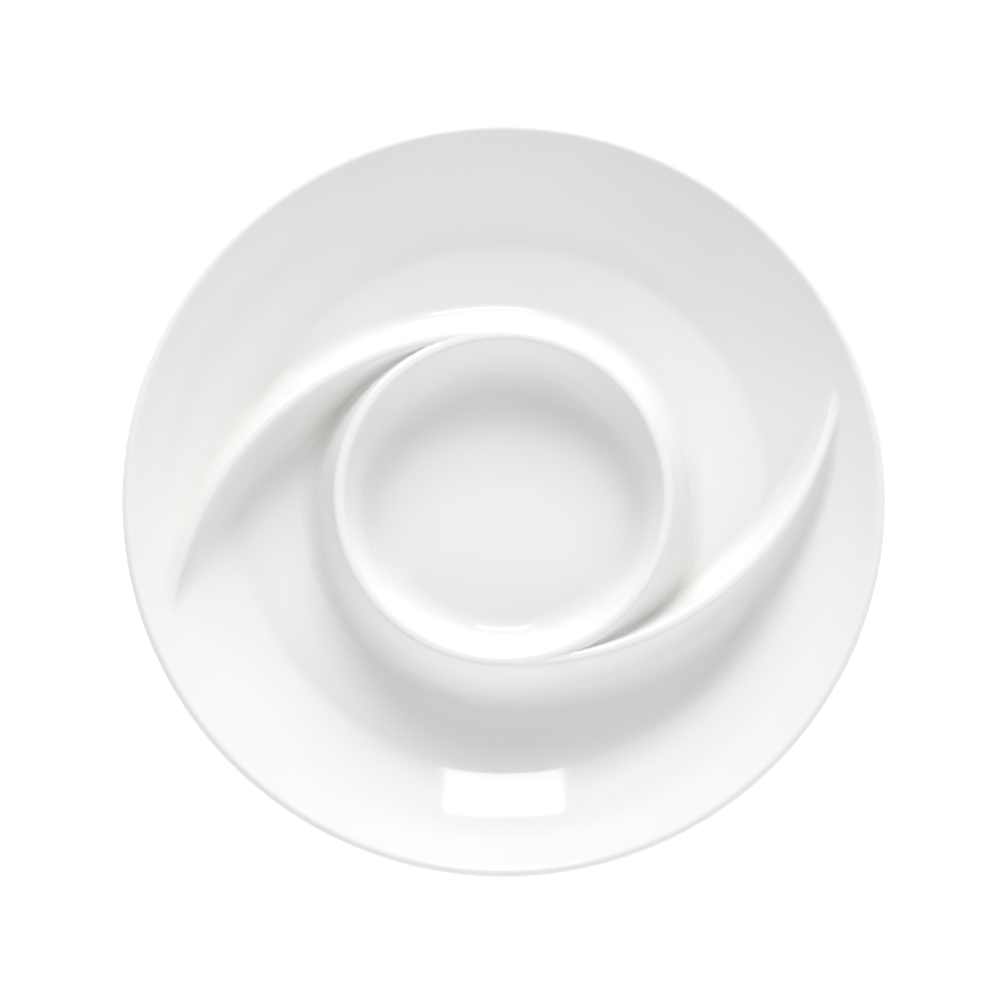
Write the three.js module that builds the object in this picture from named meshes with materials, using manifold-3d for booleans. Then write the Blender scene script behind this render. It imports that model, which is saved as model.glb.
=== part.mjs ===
// Chip and dip server: one glazed porcelain casting. A shallow round dish carries a dip bowl in its
// middle, and two curved dividers leave the bowl rim like a swirl and run out on the dish wall.
// Millimetres, +Z up. The foot ring stands on z = 0 and the bowl axis is the z axis.

import * as THREE from 'three';
import { mergeVertices } from 'three/addons/utils/BufferGeometryUtils.js';
import Module from 'manifold-3d';

// Dish
const DISH_RADIUS = 165;
const WELL_FLOOR = 9;
const WELL_EDGE_RADIUS = 115;
const WELL_FILLET = 8;
const WALL_ANGLE_LOW = 22;
const WALL_ANGLE_HIGH = 37;
const LIP_RADIUS = 2.4;
const SHELL = 5.5;

// Dip bowl
const BOWL_RADIUS = 71.3;
const BOWL_RIM = 34;
const BOWL_FLOOR = 9.5;
const BOWL_DRAFT_INSIDE = 27;
const BOWL_FILLET_OUTSIDE = 8;
const BOWL_FILLET_INSIDE = 12;

// Crests of the bowl wall and of the dividers, and how far their outer faces lean
const CREST_FLAT = 0.4;
const CREST_ROUND = 2.4;
const DRAFT = 22;

// Dividers, each an arc in plan that touches the bowl wall from outside
const DIVIDER_RADIUS = 140.8;
const DIVIDER_CENTRE = new THREE.Vector2(5.5, 69.1);
const DIVIDER_TIP_RADIUS = 150.5;
const DIVIDER_TOE = 3;
const DIVIDER_FALL = 1.6;
const DIVIDER_START_DROP = 0.25;
const DIVIDER_STATIONS = 32;

// Foot ring and the relief groove under the bowl wall
const FOOT_HEIGHT = 4;
const FOOT_OUTER = 99;
const FOOT_INNER = 93;
const FOOT_ROUND = 1.2;
const GROOVE_TOP = 22;
const GROOVE_ROUND = 3;
const GROOVE_HALF_WIDTH = 8;

const LATHE_SEGMENTS = 80;
const GLAZE = new THREE.MeshStandardMaterial({ color: 0xf2f0ea, roughness: 0.12, metalness: 0 });

const radians = THREE.MathUtils.degToRad;

// Points on an arc about (x, y), from one angle to another in degrees.
function arc(x, y, radius, from, to, steps) {
  const points = [];
  for (let i = 0; i <= steps; i += 1) {
    const angle = radians(from + ((to - from) * i) / steps);
    points.push(new THREE.Vector2(x + radius * Math.cos(angle), y + radius * Math.sin(angle)));
  }
  return points;
}

// Places on the dish wall where its slope takes over from the fillet and where the lip begins.
const lowSine = Math.sin(radians(WALL_ANGLE_LOW));
const highSine = Math.sin(radians(WALL_ANGLE_HIGH));
const filletStart = WELL_EDGE_RADIUS - WELL_FILLET * Math.tan(radians(WALL_ANGLE_LOW / 2));
const filletEnd = filletStart + WELL_FILLET * lowSine;
const filletRise = WELL_FILLET * (1 - Math.cos(radians(WALL_ANGLE_LOW)));
const lipCentreRadius = DISH_RADIUS - LIP_RADIUS;
const wallEnd = lipCentreRadius - LIP_RADIUS * highSine;
const wallRadius = (wallEnd - filletEnd) / (highSine - lowSine);

// Height of the dish face at a distance from the axis: floor, fillet, then a hollow wall.
function dishHeight(r) {
  if (r <= filletStart) {
    return WELL_FLOOR;
  }
  if (r <= filletEnd) {
    return WELL_FLOOR + WELL_FILLET - Math.sqrt(WELL_FILLET ** 2 - (r - filletStart) ** 2);
  }
  const sine = Math.min(lowSine + (r - filletEnd) / wallRadius, highSine);
  const drop = Math.cos(radians(WALL_ANGLE_LOW)) - Math.sqrt(1 - sine ** 2);
  return WELL_FLOOR + filletRise + wallRadius * drop;
}

// The fillet between a level floor and a wall that leans by draft degrees from the vertical.
// side is 1 where the wall rises towards the axis and -1 where it rises away from it.
function wallFillet(corner, floor, draft, radius, side, steps) {
  const x = corner + side * radius * Math.tan(radians((90 - draft) / 2));
  const points = arc(x, floor + radius, radius, -90, -90 - side * (90 - draft), steps);
  return side > 0 ? points : points.reverse();
}

// The round shoulder of a crest. side is 1 on the face away from the axis.
function crestShoulder(side, draft, steps) {
  const x = BOWL_RADIUS + side * CREST_FLAT;
  const points = arc(x, BOWL_RIM - CREST_ROUND, CREST_ROUND, 90, 90 - side * (90 - draft), steps);
  return side > 0 ? points.reverse() : points;
}

// Where a leaning bowl wall would meet its floor if there were no fillet.
function wallFoot(floor, draft) {
  const lean = radians(draft);
  const reach = CREST_FLAT + CREST_ROUND * Math.cos(lean);
  const top = BOWL_RIM - CREST_ROUND * (1 - Math.sin(lean));
  return reach + (top - floor) * Math.tan(lean);
}

// Half of the whole section, from the axis under the dish, round the lip and back to the axis.
function bodyProfile() {
  const underside = (r) => dishHeight(r) - SHELL / Math.cos(radians(WALL_ANGLE_LOW));
  const lipHeight = dishHeight(wallEnd) - LIP_RADIUS * Math.cos(radians(WALL_ANGLE_HIGH));
  const points = [
    new THREE.Vector2(0, FOOT_HEIGHT),
    new THREE.Vector2(FOOT_INNER - 1, FOOT_HEIGHT),
    new THREE.Vector2(FOOT_INNER, FOOT_ROUND),
    new THREE.Vector2(FOOT_INNER + FOOT_ROUND, 0),
    new THREE.Vector2(FOOT_OUTER - FOOT_ROUND, 0),
    new THREE.Vector2(FOOT_OUTER, FOOT_ROUND),
    new THREE.Vector2(FOOT_OUTER + 1.5, FOOT_HEIGHT),
    new THREE.Vector2(filletEnd + 2, underside(filletEnd + 2)),
    new THREE.Vector2(132, underside(132)),
    new THREE.Vector2(148, underside(148)),
    ...arc(lipCentreRadius, lipHeight, LIP_RADIUS, -60, 0, 3),
    ...arc(lipCentreRadius, lipHeight, LIP_RADIUS, 20, 90 + WALL_ANGLE_HIGH, 5),
  ];
  for (const r of [154, 146, 138, 130, 122]) {
    points.push(new THREE.Vector2(r, dishHeight(r)));
  }
  points.push(...arc(filletStart, WELL_FLOOR + WELL_FILLET, WELL_FILLET, -90 + WALL_ANGLE_LOW, -90, 4));
  const outsideFoot = BOWL_RADIUS + wallFoot(WELL_FLOOR, DRAFT);
  const insideFoot = BOWL_RADIUS - wallFoot(BOWL_FLOOR, BOWL_DRAFT_INSIDE);
  points.push(...wallFillet(outsideFoot, WELL_FLOOR, DRAFT, BOWL_FILLET_OUTSIDE, 1, 4));
  points.push(...crestShoulder(1, DRAFT, 3));
  points.push(...crestShoulder(-1, BOWL_DRAFT_INSIDE, 3));
  points.push(...wallFillet(insideFoot, BOWL_FLOOR, BOWL_DRAFT_INSIDE, BOWL_FILLET_INSIDE, -1, 5));
  points.push(new THREE.Vector2(0, BOWL_FLOOR));
  return points;
}

// The body of revolution: dish, lip, foot ring and bowl wall.
function bodyGeometry() {
  const geometry = new THREE.LatheGeometry(bodyProfile(), LATHE_SEGMENTS);
  geometry.rotateX(Math.PI / 2);
  return geometry;
}

// The ring cut up into the bowl wall from below, so that the wall is not much thicker than the dish.
function grooveGeometry() {
  const points = [
    new THREE.Vector2(BOWL_RADIUS - GROOVE_HALF_WIDTH, FOOT_HEIGHT - 1),
    new THREE.Vector2(BOWL_RADIUS + GROOVE_HALF_WIDTH, FOOT_HEIGHT - 1),
    ...arc(BOWL_RADIUS, GROOVE_TOP - GROOVE_ROUND, GROOVE_ROUND, 20, 160, 4),
    new THREE.Vector2(BOWL_RADIUS - GROOVE_HALF_WIDTH, FOOT_HEIGHT - 1),
  ];
  const geometry = new THREE.LatheGeometry(points, LATHE_SEGMENTS);
  geometry.rotateX(Math.PI / 2);
  return geometry;
}

// A point of the divider: angle runs along the arc from where it touches the bowl wall, and
// offset is measured square to the arc, positive away from its centre.
function dividerPoint(angle, offset) {
  const heading = Math.atan2(-DIVIDER_CENTRE.y, -DIVIDER_CENTRE.x) + angle;
  const reach = DIVIDER_RADIUS + offset;
  const x = DIVIDER_CENTRE.x + reach * Math.cos(heading);
  const y = DIVIDER_CENTRE.y + reach * Math.sin(heading);
  return new THREE.Vector2(x, y);
}

// Angle along the arc at which the divider reaches its tip radius.
const centreDistance = DIVIDER_CENTRE.length();
const tipSquares = centreDistance ** 2 + DIVIDER_RADIUS ** 2 - DIVIDER_TIP_RADIUS ** 2;
const tipAngle = Math.acos(tipSquares / (2 * centreDistance * DIVIDER_RADIUS));

// Height of the divider crest, level with the bowl rim at first and down to the wall at the tip.
function dividerCrest(angle) {
  const start = BOWL_RIM - DIVIDER_START_DROP;
  const fall = Math.max(angle / tipAngle, 0) ** DIVIDER_FALL;
  return start - (start - dishHeight(DIVIDER_TIP_RADIUS)) * fall;
}

// Drop of a divider's side below its crest at an offset: flat top, round shoulder, leaning face.
function sideDrop(offset) {
  const lean = radians(DRAFT);
  const shoulder = CREST_FLAT + CREST_ROUND * Math.cos(lean);
  if (offset <= CREST_FLAT) {
    return 0;
  }
  if (offset <= shoulder) {
    return CREST_ROUND - Math.sqrt(CREST_ROUND ** 2 - (offset - CREST_FLAT) ** 2);
  }
  return CREST_ROUND * (1 - Math.sin(lean)) + (offset - shoulder) / Math.tan(lean);
}

// Offset at which that side meets the dish, closed in on by halving.
function toeOffset(angle, side) {
  let near = CREST_FLAT;
  let far = BOWL_RIM;
  for (let i = 0; i < 30; i += 1) {
    const middle = (near + far) / 2;
    const dish = dishHeight(dividerPoint(angle, side * middle).length());
    if (dividerCrest(angle) - sideDrop(middle) > dish) {
      near = middle;
    } else {
      far = middle;
    }
  }
  return near;
}

// Cross-section of the divider on one side, as offset and height, from the crest down into the
// dish. The toe is a short chamfer, and beside the bowl the inner half stops inside the bowl wall.
function dividerHalfSection(angle, side) {
  const crest = dividerCrest(angle);
  const gap = dividerPoint(angle, 0).length() - BOWL_RADIUS;
  const limit = side < 0 ? gap + CREST_FLAT : Infinity;
  const surface = (offset) => dishHeight(dividerPoint(angle, side * offset).length());
  const shoulder = CREST_FLAT + CREST_ROUND * Math.cos(radians(DRAFT));
  const toe = Math.max(toeOffset(angle, side), shoulder);
  const chamfer = Math.min(DIVIDER_TOE, Math.max(crest - surface(toe), 0) * 0.25);
  const low = toe - chamfer * Math.tan(radians(DRAFT));
  const offsets = [CREST_FLAT, CREST_FLAT + CREST_ROUND * 0.6, shoulder, low];
  const points = offsets.map((offset) => {
    const held = Math.min(offset, limit);
    return [side * held, crest - sideDrop(held)];
  });
  const foot = Math.min(toe + chamfer, limit);
  points.push([side * foot, Math.min(surface(foot), crest - sideDrop(low)) - 0.3]);
  points.push([side * foot, surface(foot) - SHELL * 0.7]);
  return points;
}

// One divider as a closed sweep of its cross-section.
function dividerGeometry() {
  const positions = [];
  const index = [];
  const last = tipAngle * 1.06;
  let count = 0;
  for (let i = 0; i <= DIVIDER_STATIONS; i += 1) {
    const angle = (last * i) / DIVIDER_STATIONS;
    const section = [...dividerHalfSection(angle, -1).reverse(), ...dividerHalfSection(angle, 1)];
    count = section.length;
    for (const [offset, z] of section) {
      const point = dividerPoint(angle, offset);
      positions.push(point.x, point.y, z);
    }
  }
  for (let i = 0; i < DIVIDER_STATIONS; i += 1) {
    for (let j = 0; j < count; j += 1) {
      const a = i * count + j;
      const b = i * count + ((j + 1) % count);
      index.push(a, b, b + count, a, b + count, a + count);
    }
  }
  const end = DIVIDER_STATIONS * count;
  for (let j = 1; j < count - 1; j += 1) {
    index.push(0, j + 1, j);
    index.push(end, end + j, end + j + 1);
  }
  const geometry = new THREE.BufferGeometry();
  geometry.setAttribute('position', new THREE.Float32BufferAttribute(positions, 3));
  geometry.setIndex(index);
  return geometry;
}

const wasm = await Module();
wasm.setup();

// A three.js geometry as a solid for adding and subtracting.
function solid(geometry) {
  const plain = geometry.clone();
  plain.deleteAttribute('normal');
  plain.deleteAttribute('uv');
  const merged = mergeVertices(plain, 1e-4);
  const mesh = new wasm.Mesh({
    numProp: 3,
    vertProperties: new Float32Array(merged.attributes.position.array),
    triVerts: new Uint32Array(merged.index.array),
  });
  return new wasm.Manifold(mesh);
}

// A solid as a three.js geometry.
function geometryOf(manifold) {
  const mesh = manifold.getMesh();
  const geometry = new THREE.BufferGeometry();
  geometry.setAttribute('position', new THREE.Float32BufferAttribute(mesh.vertProperties, 3));
  geometry.setIndex(Array.from(mesh.triVerts));
  geometry.computeVertexNormals();
  return geometry;
}

// The dish with both dividers, the second a half turn from the first, less the groove below.
function serverGeometry() {
  const first = dividerGeometry();
  const second = first.clone().rotateZ(Math.PI);
  const whole = solid(bodyGeometry()).add(solid(first)).add(solid(second));
  return geometryOf(whole.subtract(solid(grooveGeometry())));
}

const server = new THREE.Mesh(serverGeometry(), GLAZE);
server.name = 'server_body';

const group = new THREE.Group();
group.name = 'chip_and_dip_server';
group.add(server);

export default group;
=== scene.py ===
# Chip and dip server: the looks of one glazed porcelain casting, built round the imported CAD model.
# The shape follows the CAD model's, with softer fillets. Lengths are millimetres until the mesh is
# made, then metres. Lamps, floor and camera are in metres.

import math

import bpy
import numpy as np
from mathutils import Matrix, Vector


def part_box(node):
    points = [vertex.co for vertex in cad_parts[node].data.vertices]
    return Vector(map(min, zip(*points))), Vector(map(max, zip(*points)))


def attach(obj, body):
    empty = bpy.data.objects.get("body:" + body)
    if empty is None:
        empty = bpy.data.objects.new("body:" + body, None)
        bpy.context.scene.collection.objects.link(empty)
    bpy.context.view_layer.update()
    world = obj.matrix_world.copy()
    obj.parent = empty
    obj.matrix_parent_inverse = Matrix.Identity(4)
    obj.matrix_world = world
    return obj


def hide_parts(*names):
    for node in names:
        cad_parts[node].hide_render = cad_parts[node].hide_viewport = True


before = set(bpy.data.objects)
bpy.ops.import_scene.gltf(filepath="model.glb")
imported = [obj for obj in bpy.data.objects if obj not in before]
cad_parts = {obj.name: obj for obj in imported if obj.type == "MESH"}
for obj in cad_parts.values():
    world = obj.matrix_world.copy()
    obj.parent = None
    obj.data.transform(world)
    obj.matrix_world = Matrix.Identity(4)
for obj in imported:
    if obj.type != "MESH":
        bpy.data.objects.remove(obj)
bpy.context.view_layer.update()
cad_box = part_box("server_body")

MM = 0.001

# Dish
DISH_RADIUS = cad_box[1][0] / MM
WELL_FLOOR = 9.0
WELL_EDGE_RADIUS = 115.0
WELL_FILLET = 14.0
WALL_LOW = math.radians(22.0)
WALL_HIGH = math.radians(37.0)
LIP_RADIUS = 2.4
LIP_CENTRE = DISH_RADIUS - LIP_RADIUS
WALL_END = LIP_CENTRE - LIP_RADIUS * math.sin(WALL_HIGH)
SHELL = 5.5

# Dip bowl
BOWL_RADIUS = 71.3
BOWL_RIM = 34.0
BOWL_FLOOR = 9.5
BOWL_FILLET_OUTSIDE = 8.0
BOWL_FILLET_INSIDE = 12.0
DRAFT_INSIDE = math.radians(27.0)
DRAFT_OUTSIDE = math.radians(22.0)

# Crests of the bowl wall and the dividers
CREST_FLAT = 0.4
CREST_ROUND = 2.4

# Dividers. Reach says how far behind its start, as an angle, and past its tip, in lengths, each is
# looked for. Before its start the crest dips back into the bowl wall at a slope that steepens.
DIVIDER_RADIUS = 140.8
DIVIDER_CENTRE = (5.5, 69.1)
DIVIDER_TIP_RADIUS = 150.5
DIVIDER_FALL = 1.6
REACH_BEHIND = -1.2
REACH_PAST_TIP = 1.5
DIP_SLOPE = 0.35
DIP_STEEPENING = 0.01
FAR_BELOW = -1000.0

# Fillets at the dividers' feet. They shrink with the divider, and "more" is what the outer side adds.
FEET_LARGEST_MORE = 3.0
FEET_LEAST = 1.6
FEET_LEAST_MORE = 1.4
FEET_GROWTH = 0.75
FEET_GROWTH_MORE = 0.7
FEET_MINIMUM = 1.0
FEET_ALONG = (0.0, 0.4)
OUTER_SIDE = (-3.0, 6.0)

# How softly the dividers run into the bowl wall, in full at this depth below the rim
POCKET_BLEND = 14.0
POCKET_DEPTH = 9.0
POCKET_LEAST = 0.04

# Underside. Lists run from the outside in, and the well's is of radius and height.
LIP_TURN = math.radians(-62)
WALL_BACK_RADII = (159, 154, 148, 140, 132, 125, 120)
WELL_BACK = [(115, 3.6), (110, 3.6), (105, 3.8)]
FOOT_HEIGHT = 4.0
FOOT_OUTER = 99.0
FOOT_INNER = 93.0
FOOT_ROUND = 1.2
FOOT_SIDE_DROP = 0.9
FOOT_SHELF_DROP = 0.1
LEVEL_OUTSIDE_GROOVE = (86, 81)
LEVEL_INSIDE_GROOVE = (61.5, 50, 25)
GROOVE_TOP = 22.0
GROOVE_ROUND = 3.0
GROOVE_MOUTH = (8.6, 0.2)
GROOVE_THROAT = (7.8, 1.2)
GROOVE_TURN = (math.radians(20), math.radians(160))

# Mesh. Rings are first radius, last radius and count.
SPOKES = 720
AXIS_RADIUS = 0.01
FLOOR_RINGS = (6, 46, 9)
BOWL_RINGS = (48, 100, 99)
WALL_RINGS = 82
LIP_GAP = 0.5
NORMAL_STEP = 0.12
BEND_STEP = 2.4

# Glaze: bend at which the painted shade in hollows and creases, which also stands for pooled glaze, starts
# and is deepest, heights between which it fades out upwards, bend over a crest at which the glaze is
# thinnest, and what part of the foot is left bare
SHADE_POOL_BEND = (0.09, 0.29)
SHADE_POOL_HEIGHTS = (BOWL_RIM - 18, BOWL_RIM - 6)
THIN_BEND = 0.35
BARE_HEIGHT = 0.6
BARE_MARGIN = 1.0

# Colours
GLAZE = (0.885, 0.882, 0.872, 1)
GLAZE_CLOUD = (0.87, 0.869, 0.864, 1)
# Painted shade for hollows and creases, which also stands for glaze pooling there
GLAZE_POOLED_AND_SHADED = (0.815, 0.80, 0.77, 1)
GLAZE_THINNED = (0.90, 0.893, 0.875, 1)
PINHOLE = (0.62, 0.57, 0.50, 1)
BARE = (0.80, 0.775, 0.72, 1)
BARE_GRAIN = (0.72, 0.69, 0.63, 1)
BARE_WORN = (0.60, 0.575, 0.53, 1)
FLOOR_WHITE = (0.93, 0.93, 0.93, 1)
PURE_WHITE = (1, 1, 1, 1)

# Camera, at the photograph's angle
CAMERA_ELEVATION = math.radians(81.1)
CAMERA_DISTANCE = 3.0
CAMERA_TARGET = (-0.0016, -0.00143, 0.035)
CAMERA_LENS = 250.2
SENSOR_WIDTH = 36
CLIP_END = 50

# Floor and world. The glow fades in between the two distances from the axis.
FLOOR_HALF = 3.0
FLOOR_GLOW = 0.45
GLOW_RADII = (0.11, 0.175)
WORLD_LIGHT = 0.285

# Lamps face a point on the axis. The key's mirror image falls on the near side of the dish wall.
# Compass runs clockwise from +Y in degrees. A stand is elevation in degrees, distance and size.
LAMP_AIM = Vector((0, 0, 0.02))
KEY_STAND = (36.5, 1.6, (0.425, 0.41))
KEY_POWER = 2.8
TOP_STAND = (90, 2.0, (2.4, 2.4))
TOP_POWER = 1.5
STANDS = {
    "": (28, 2.2, (1.4, 0.8)),
    "_high": (52, 2.2, (1.2, 1.2)),
    "_low": (9, 1.8, (1.2, 0.2)),
}
# Sides: name, compass, and the power of the lamp on each stand
SIDES = [
    ("north", 0, {"": 30.2, "_high": 1.0, "_low": 5.9}),
    ("north_east", 45, {"": 1.3, "_high": 2.0}),
    ("east", 90, {"": 1.5, "_high": 1.9}),
    ("south_east", 135, {"": 1.0, "_low": 3.1}),
    ("south", 180, {"": 8.4, "_high": 6.5}),
    ("south_west", 225, {"": 4.8, "_low": 1.9}),
]


def ramp(value, low, high):
    """0 below low, 1 above high and straight between."""
    return np.clip((value - low) / (high - low), 0, 1)


def smooth_ramp(value, low, high):
    """A ramp with soft ends."""
    part = ramp(value, low, high)
    return part ** 2 * (3 - 2 * part)


def arc(x, z, radius, first, last, count):
    """Points on an arc about (x, z), from one angle to another in radians."""
    return [
        (x + radius * math.cos(angle), z + radius * math.sin(angle))
        for angle in np.linspace(first, last, count)
    ]


def dish_height(r):
    """Height of the dish face at a distance from the axis: floor, fillet, then a hollow wall."""
    r = np.asarray(r, float)
    start = WELL_EDGE_RADIUS - WELL_FILLET * math.tan(WALL_LOW / 2)
    end = start + WELL_FILLET * math.sin(WALL_LOW)
    rise = WELL_FILLET * (1 - math.cos(WALL_LOW))
    hollow = (WALL_END - end) / (math.sin(WALL_HIGH) - math.sin(WALL_LOW))
    past = np.clip(r - start, 0, None)
    fillet = WELL_FILLET - np.sqrt(np.maximum(WELL_FILLET ** 2 - past ** 2, 0))
    sine = np.clip(math.sin(WALL_LOW) + (r - end) / hollow, math.sin(WALL_LOW), math.sin(WALL_HIGH))
    wall = rise + hollow * (math.cos(WALL_LOW) - np.sqrt(1 - sine ** 2))
    return WELL_FLOOR + np.where(r <= start, 0.0, np.where(r <= end, fillet, wall))


def side_drop(distance, draft):
    """Drop of a leaning face below its crest: flat top, round shoulder, straight face."""
    x = np.abs(distance)
    shoulder = CREST_FLAT + CREST_ROUND * math.cos(draft)
    turn = np.clip(x - CREST_FLAT, 0, CREST_ROUND)
    rounded = CREST_ROUND - np.sqrt(np.maximum(CREST_ROUND ** 2 - turn ** 2, 0))
    straight = CREST_ROUND * (1 - math.sin(draft)) + (x - shoulder) / math.tan(draft)
    return np.where(x > shoulder, straight, rounded)


def with_fillet(height, radius, draft):
    """Height over the floor of a wall that meets it in a fillet, from its height without one."""
    turn = math.pi / 2 - draft
    slope = math.tan(turn)
    reach = radius * math.tan(turn / 2)
    past = np.clip(reach + height / slope, 0, radius)
    inner = radius - np.sqrt(np.maximum(radius ** 2 - past ** 2, 0))
    low = np.where(height <= -slope * reach, 0.0, inner)
    return np.where(height >= reach * math.sin(turn), height, low)


def blended_top(a, b, width):
    """The higher of two surfaces, rounded over where they cross."""
    near = np.maximum(width - np.abs(a - b), 0) / width
    return np.maximum(a, b) + near ** 2 * width * 0.25


def divider_tip_angle():
    """Angle along the divider's arc, from the bowl wall to its tip."""
    distance = math.hypot(*DIVIDER_CENTRE)
    squares = distance ** 2 + DIVIDER_RADIUS ** 2 - DIVIDER_TIP_RADIUS ** 2
    return math.acos(squares / (2 * distance * DIVIDER_RADIUS))


def divider_heights(x, y):
    """Heights of one divider's crest and faces at each point, and where on it the point is.

    Along is 0 where the divider starts and 1 at its tip, and outer is 1 on its outer side.
    """
    dx = x - DIVIDER_CENTRE[0]
    dy = y - DIVIDER_CENTRE[1]
    start = math.atan2(-DIVIDER_CENTRE[1], -DIVIDER_CENTRE[0])
    angle = (np.arctan2(dy, dx) - start + math.pi) % (2 * math.pi) - math.pi
    along = angle / divider_tip_angle()
    offset = np.hypot(dx, dy) - DIVIDER_RADIUS
    tip_height = float(dish_height(DIVIDER_TIP_RADIUS))
    crest = BOWL_RIM - (BOWL_RIM - tip_height) * np.clip(along, 0, REACH_PAST_TIP) ** DIVIDER_FALL
    before = np.maximum(-angle, 0) * DIVIDER_RADIUS
    crest = crest - before * DIP_SLOPE - before ** 2 * DIP_STEEPENING
    face = crest - side_drop(offset, DRAFT_OUTSIDE)
    face = np.where((angle > REACH_BEHIND) & (along < REACH_PAST_TIP), face, FAR_BELOW)
    return crest, face, along, smooth_ramp(offset, *OUTER_SIDE)


def foot_radius(height, along, outer):
    """Fillet radius at a divider's foot: less where the divider is low, more on its outer side."""
    largest = BOWL_FILLET_OUTSIDE + FEET_LARGEST_MORE * outer * smooth_ramp(along, *FEET_ALONG)
    least = FEET_LEAST + FEET_LEAST_MORE * outer
    grown = np.tanh(height * (FEET_GROWTH + FEET_GROWTH_MORE * outer) / largest)
    return np.maximum(least + (largest - least) * grown, FEET_MINIMUM)


def top_height(x, y):
    """Height of the whole upper face, without the lip."""
    r = np.hypot(x, y)
    inside = r < BOWL_RADIUS
    base = np.where(inside, BOWL_FLOOR, dish_height(r))
    wall = BOWL_RIM - np.where(
        inside,
        side_drop(r - BOWL_RADIUS, DRAFT_INSIDE),
        side_drop(r - BOWL_RADIUS, DRAFT_OUTSIDE),
    )
    radius = np.where(inside, BOWL_FILLET_INSIDE, BOWL_FILLET_OUTSIDE)
    for turn in (1, -1):
        crest, divider, along, outer = divider_heights(turn * x, turn * y)
        divider = np.where(inside, FAR_BELOW, divider)
        soft = foot_radius(crest - base, along, outer)
        radius = np.where(~inside & (divider > wall), soft, radius)
        below_rim = BOWL_RIM - np.maximum(wall, divider)
        blend = POCKET_BLEND * np.clip(below_rim / POCKET_DEPTH, POCKET_LEAST, 1)
        wall = blended_top(wall, divider, blend)
    raised = np.where(
        inside,
        with_fillet(wall - base, radius, DRAFT_INSIDE),
        with_fillet(wall - base, radius, DRAFT_OUTSIDE),
    )
    return base + raised


def lip_and_underside():
    """Profile from the inner edge of the lip, round it and under the dish to the axis."""
    lip_height = float(dish_height(WALL_END)) - LIP_RADIUS * math.cos(WALL_HIGH)
    points = arc(LIP_CENTRE, lip_height, LIP_RADIUS, math.pi / 2 + WALL_HIGH, LIP_TURN, 19)
    below = SHELL / math.cos(WALL_LOW)
    points += [(r, float(dish_height(r)) - below) for r in WALL_BACK_RADII]
    points += WELL_BACK
    points += foot_ring()
    points += [(r, FOOT_HEIGHT) for r in LEVEL_OUTSIDE_GROOVE]
    points += groove()
    points += [(r, FOOT_HEIGHT) for r in (*LEVEL_INSIDE_GROOVE, AXIS_RADIUS)]
    return points


def foot_ring():
    """The foot ring's section: outer face, standing face and inner face, with round edges."""
    quarter = math.pi / 2
    side_top = FOOT_HEIGHT - FOOT_SIDE_DROP
    return [
        (FOOT_OUTER + FOOT_ROUND, FOOT_HEIGHT - FOOT_SHELF_DROP),
        (FOOT_OUTER, side_top),
        *arc(FOOT_OUTER - FOOT_ROUND, FOOT_ROUND, FOOT_ROUND, 0, -quarter, 5),
        *arc(FOOT_INNER + FOOT_ROUND, FOOT_ROUND, FOOT_ROUND, -quarter, -2 * quarter, 5),
        (FOOT_INNER, side_top),
        (FOOT_INNER - FOOT_ROUND, FOOT_HEIGHT),
    ]


def groove():
    """The relief ring under the bowl wall, from its outer edge over its top to its inner edge."""
    outer = [(BOWL_RADIUS + half, FOOT_HEIGHT + rise) for half, rise in (GROOVE_MOUTH, GROOVE_THROAT)]
    inner = [(BOWL_RADIUS - half, FOOT_HEIGHT + rise) for half, rise in (GROOVE_THROAT, GROOVE_MOUTH)]
    return outer + arc(BOWL_RADIUS, GROOVE_TOP - GROOVE_ROUND, GROOVE_ROUND, *GROOVE_TURN, 9) + inner


def upper_face(theta):
    """Points and normals of the upper face, ring by ring from the axis, and how sharply it bends."""
    radii = np.concatenate([
        [AXIS_RADIUS],
        np.linspace(*FLOOR_RINGS),
        np.linspace(*BOWL_RINGS, endpoint=False),
        np.linspace(BOWL_RINGS[1], WALL_END - LIP_GAP, WALL_RINGS),
    ])
    grid_r, grid_t = np.meshgrid(radii, theta, indexing="ij")
    x, y = grid_r * np.cos(grid_t), grid_r * np.sin(grid_t)
    z = top_height(x, y)
    step = NORMAL_STEP
    slope_x = (top_height(x + step, y) - top_height(x - step, y)) / (2 * step)
    slope_y = (top_height(x, y + step) - top_height(x, y - step)) / (2 * step)
    wide = BEND_STEP
    across_x = top_height(x + wide, y) + top_height(x - wide, y)
    across_y = top_height(x, y + wide) + top_height(x, y - wide)
    steepness = (1 + slope_x ** 2 + slope_y ** 2) ** 1.5
    bend = (across_x + across_y - 4 * z) / wide ** 2 / steepness
    return np.stack([x, y, z], -1), np.stack([-slope_x, -slope_y, np.ones_like(z)], -1), bend


def turned(radii, heights, theta):
    """A profile's numbers, as distance from the axis and height, turned round the axis."""
    ring = np.stack([np.cos(theta), np.sin(theta)], -1)
    around = radii[:, None, None] * ring[None, :, :]
    upright = np.repeat(heights[:, None, None], len(theta), axis=1)
    return np.concatenate([around, upright], -1)


def surface_rows():
    """Rings of points from the axis over the top, round the lip and back below, with normals."""
    theta = np.linspace(0, 2 * math.pi, SPOKES, endpoint=False)
    top_points, top_normals, bend = upper_face(theta)
    profile = np.array(lip_and_underside())
    tangent = np.gradient(profile, axis=0)
    low_points = turned(profile[:, 0], profile[:, 1], theta)
    low_normals = turned(-tangent[:, 1], tangent[:, 0], theta)
    points = np.concatenate([top_points, low_points])
    normals = np.concatenate([top_normals, low_normals])
    normals /= np.linalg.norm(normals, axis=-1, keepdims=True)
    return points, normals, np.concatenate([bend, np.zeros((len(profile), SPOKES))])


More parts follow.
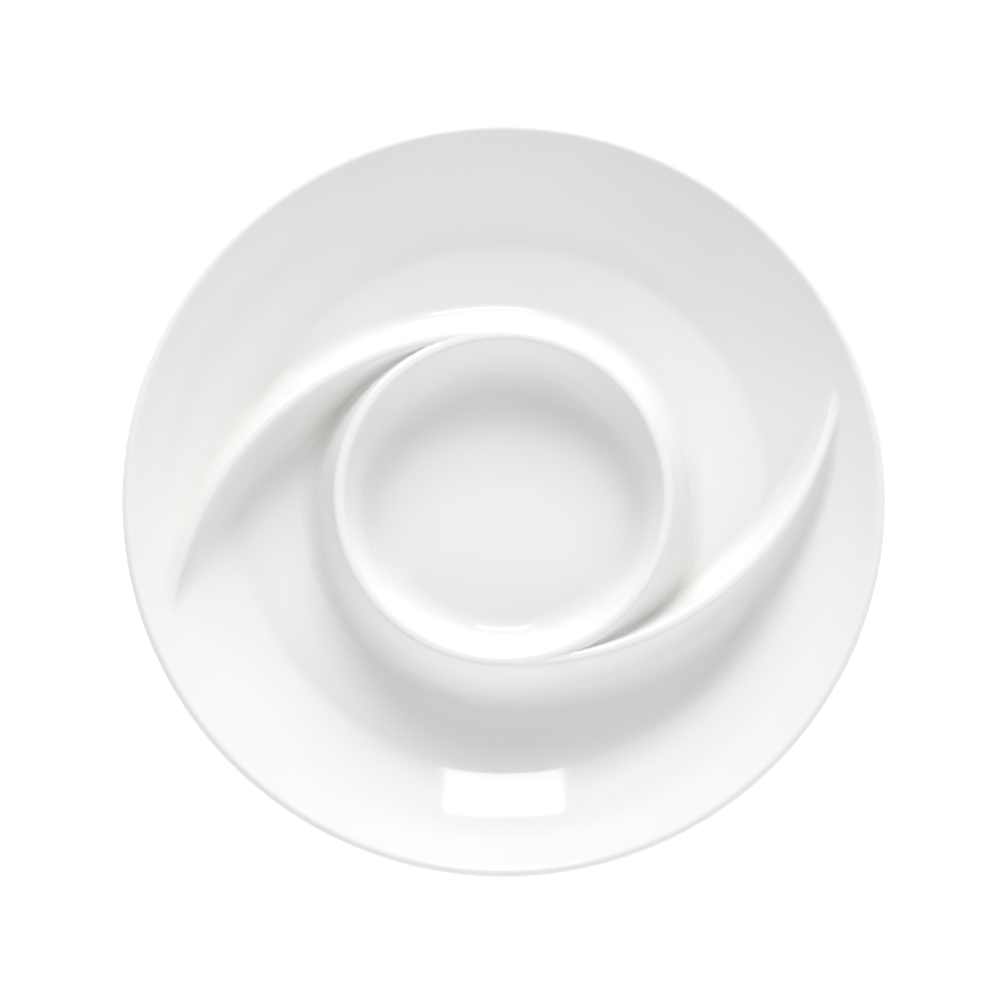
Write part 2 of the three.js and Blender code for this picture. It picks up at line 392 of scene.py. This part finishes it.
def ring_faces(rows):
    """Quads between neighbouring rings."""
    i, j = np.meshgrid(np.arange(rows - 1), np.arange(SPOKES), indexing="ij")
    across = (j + 1) % SPOKES
    quads = np.stack([
        i * SPOKES + j, (i + 1) * SPOKES + j, (i + 1) * SPOKES + across, i * SPOKES + across,
    ], -1)
    return quads.reshape(-1, 4)


def add_measure(mesh, name, values):
    """Stores one number per point for the material to read."""
    layer = mesh.attributes.new(name, "FLOAT", "POINT")
    layer.data.foreach_set("value", values.reshape(-1).astype(np.float32))


def make_server():
    """The casting as one mesh, with the measures that its glaze needs at each point.

    The innermost rings on the top and below are AXIS_RADIUS wide and are left open.
    """
    rows, normals, bend = surface_rows()
    points = rows.reshape(-1, 3)
    faces = ring_faces(len(rows))
    mesh = bpy.data.meshes.new("glazed_server")
    mesh.from_pydata((points * MM).tolist(), [], faces.tolist())
    mesh.polygons.foreach_set("use_smooth", np.ones(len(faces), bool))
    mesh.materials.append(glaze_material())
    mesh.materials.append(bare_material())
    heights = points[:, 2][faces].max(axis=1)
    radii = np.hypot(points[:, 0], points[:, 1])[faces].mean(axis=1)
    on_foot = (radii > FOOT_INNER - BARE_MARGIN) & (radii < FOOT_OUTER + BARE_MARGIN)
    bare = (heights < BARE_HEIGHT) & on_foot
    mesh.polygons.foreach_set("material_index", bare.astype(np.int32))
    # Painted shade: hollows are darker and warmer the more they bend and the lower they lie, which also
    # stands for glaze pooling there
    depth = 1 - ramp(rows[:, :, 2], *SHADE_POOL_HEIGHTS)
    add_measure(mesh, "pool_and_shade", ramp(bend, *SHADE_POOL_BEND) * depth)
    add_measure(mesh, "glaze_thin", ramp(-bend, 0, THIN_BEND))
    mesh.update()
    mesh.normals_split_custom_set_from_vertices(normals.reshape(-1, 3).tolist())
    piece = bpy.data.objects.new("glazed_server", mesh)
    bpy.context.collection.objects.link(piece)
    return piece


def new_material(name):
    """A material with its shader, nodes and links."""
    material = bpy.data.materials.new(name)
    material.use_nodes = True
    tree = material.node_tree
    return material, tree.nodes["Principled BSDF"], tree.nodes, tree.links


def noise(nodes, links, position, scale, detail):
    """A noise texture in object space, scale in features per metre."""
    node = nodes.new("ShaderNodeTexNoise")
    node.inputs["Scale"].default_value = scale
    node.inputs["Detail"].default_value = detail
    links.new(position, node.inputs["Vector"])
    return node.outputs["Fac"]


def between(nodes, links, value, low, high, out_low, out_high):
    """Maps a value from one range to another, clamped."""
    node = nodes.new("ShaderNodeMapRange")
    for socket, number in (("From Min", low), ("From Max", high), ("To Min", out_low), ("To Max", out_high)):
        node.inputs[socket].default_value = number
    links.new(value, node.inputs["Value"])
    return node.outputs["Result"]


def tint(nodes, links, colour, amount, target):
    """Mixes a colour towards a target by an amount."""
    node = nodes.new("ShaderNodeMix")
    node.data_type = "RGBA"
    links.new(amount, node.inputs["Factor"])
    if isinstance(colour, tuple):
        node.inputs[6].default_value = colour
    else:
        links.new(colour, node.inputs[6])
    node.inputs[7].default_value = target
    return node.outputs[2]


def measure(nodes, name):
    """A number stored on the mesh."""
    node = nodes.new("ShaderNodeAttribute")
    node.attribute_name = name
    return node.outputs["Fac"]


def add_bump(nodes, links, shader, height, strength, distance):
    """Roughens the shader's normal by a height texture."""
    bump = nodes.new("ShaderNodeBump")
    bump.inputs["Strength"].default_value = strength
    bump.inputs["Distance"].default_value = distance
    links.new(height, bump.inputs["Height"])
    links.new(bump.outputs["Normal"], shader.inputs["Normal"])


def glaze_material():
    """Clear glaze over white porcelain: painted shade, which also stands for pooled glaze, makes it darker
    and warmer in hollows, and it is thin over the crests.
    """
    material, shader, nodes, links = new_material("glazed_porcelain")
    position = nodes.new("ShaderNodeTexCoord").outputs["Object"]
    cloud = between(nodes, links, noise(nodes, links, position, 14, 3), 0.35, 0.65, 0, 1)
    colour = tint(nodes, links, GLAZE, cloud, GLAZE_CLOUD)
    # Painted shade in hollows and creases, which also stands for glaze pooling
    colour = tint(nodes, links, colour, measure(nodes, "pool_and_shade"), GLAZE_POOLED_AND_SHADED)
    thin = between(nodes, links, measure(nodes, "glaze_thin"), 0, 1, 0, 0.6)
    colour = tint(nodes, links, colour, thin, GLAZE_THINNED)
    colour = tint(nodes, links, colour, pinholes(nodes, links, position), PINHOLE)
    links.new(colour, shader.inputs["Base Color"])
    smear = noise(nodes, links, position, 55, 4)
    links.new(between(nodes, links, smear, 0.3, 0.7, 0.045, 0.085), shader.inputs["Roughness"])
    shader.inputs["IOR"].default_value = 1.5
    ripple = noise(nodes, links, position, 170, 2)
    add_bump(nodes, links, shader, ripple, strength=0.05, distance=0.0004)
    return material


def pinholes(nodes, links, position):
    """A few tiny specks in the glaze: the middles of some cells of a fine cell pattern."""
    cells = nodes.new("ShaderNodeTexVoronoi")
    cells.inputs["Scale"].default_value = 95
    links.new(position, cells.inputs["Vector"])
    dot = between(nodes, links, cells.outputs["Distance"], 0.012, 0.024, 1, 0)
    rare = between(nodes, links, noise(nodes, links, position, 40, 0), 0.62, 0.66, 0, 0.5)
    both = nodes.new("ShaderNodeMath")
    both.operation = "MULTIPLY"
    links.new(dot, both.inputs[0])
    links.new(rare, both.inputs[1])
    return both.outputs[0]


def bare_material():
    """Unglazed porcelain on the standing face of the foot ring, wiped clean before firing."""
    material, shader, nodes, links = new_material("bare_porcelain")
    position = nodes.new("ShaderNodeTexCoord").outputs["Object"]
    grain = noise(nodes, links, position, 1800, 4)
    wear = between(nodes, links, noise(nodes, links, position, 60, 4), 0.4, 0.7, 0, 0.7)
    colour = tint(nodes, links, BARE, grain, BARE_GRAIN)
    colour = tint(nodes, links, colour, wear, BARE_WORN)
    links.new(colour, shader.inputs["Base Color"])
    links.new(between(nodes, links, grain, 0.3, 0.7, 0.62, 0.85), shader.inputs["Roughness"])
    add_bump(nodes, links, shader, grain, strength=0.35, distance=0.0002)
    return material


def make_floor():
    """A plain white floor, large enough to fill every view. Its glow fades out under the dish."""
    mesh = bpy.data.meshes.new("floor")
    corners = [(x * FLOOR_HALF, y * FLOOR_HALF, 0) for x, y in ((-1, -1), (1, -1), (1, 1), (-1, 1))]
    mesh.from_pydata(corners, [], [(0, 1, 2, 3)])
    material, shader, nodes, links = new_material("floor_white")
    shader.inputs["Base Color"].default_value = FLOOR_WHITE
    shader.inputs["Roughness"].default_value = 0.9
    shader.inputs["Specular IOR Level"].default_value = 0.0
    shader.inputs["Emission Color"].default_value = PURE_WHITE
    away = nodes.new("ShaderNodeVectorMath")
    away.operation = "LENGTH"
    links.new(nodes.new("ShaderNodeTexCoord").outputs["Object"], away.inputs[0])
    glow = between(nodes, links, away.outputs["Value"], *GLOW_RADII, 0.0, FLOOR_GLOW)
    links.new(glow, shader.inputs["Emission Strength"])
    mesh.materials.append(material)
    floor = bpy.data.objects.new("floor", mesh)
    bpy.context.collection.objects.link(floor)
    return floor


def make_lamp(name, compass, stand, power, mirrored=False):
    """A rectangular soft light that faces the dish. Only a mirrored one is seen in reflections."""
    elevation, distance, size = stand
    light = bpy.data.lights.new(name, "AREA")
    light.shape = "RECTANGLE"
    light.size, light.size_y = size
    light.energy = power
    lamp = bpy.data.objects.new(name, light)
    bpy.context.collection.objects.link(lamp)
    turn, rise = math.radians(compass), math.radians(elevation)
    way = Vector((math.sin(turn) * math.cos(rise), math.cos(turn) * math.cos(rise), math.sin(rise)))
    lamp.location = way * distance + LAMP_AIM
    lamp.rotation_euler = way.to_track_quat("Z", "Y").to_euler()
    lamp.visible_glossy = mirrored


def make_lamps():
    """The key lamp, soft lamps round the dish on up to three stands a side, and one overhead."""
    make_lamp("key", 0, KEY_STAND, KEY_POWER, mirrored=True)
    for side, compass, powers in SIDES:
        for level, power in powers.items():
            make_lamp(side + level, compass, STANDS[level], power)
    make_lamp("top", 0, TOP_STAND, TOP_POWER)


def make_camera():
    """The photograph's view: from the front and nearly straight above."""
    camera = bpy.data.cameras.new("camera")
    camera.sensor_width = SENSOR_WIDTH
    camera.lens = CAMERA_LENS
    camera.clip_end = CLIP_END
    view = bpy.data.objects.new("camera", camera)
    bpy.context.collection.objects.link(view)
    back = Vector((0, -math.cos(CAMERA_ELEVATION), math.sin(CAMERA_ELEVATION)))
    view.location = Vector(CAMERA_TARGET) + back * CAMERA_DISTANCE
    view.rotation_euler = (math.pi / 2 - CAMERA_ELEVATION, 0, 0)
    bpy.context.scene.camera = view


def make_world():
    """Even white light from everywhere."""
    world = bpy.data.worlds.new("studio")
    world.use_nodes = True
    background = world.node_tree.nodes["Background"]
    background.inputs["Color"].default_value = PURE_WHITE
    background.inputs["Strength"].default_value = WORLD_LIGHT
    bpy.context.scene.world = world


server = make_server()
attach(server, "root")
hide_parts("server_body")
make_floor()
make_lamps()
make_world()
make_camera()
bpy.context.scene.view_settings.view_transform = "Standard"
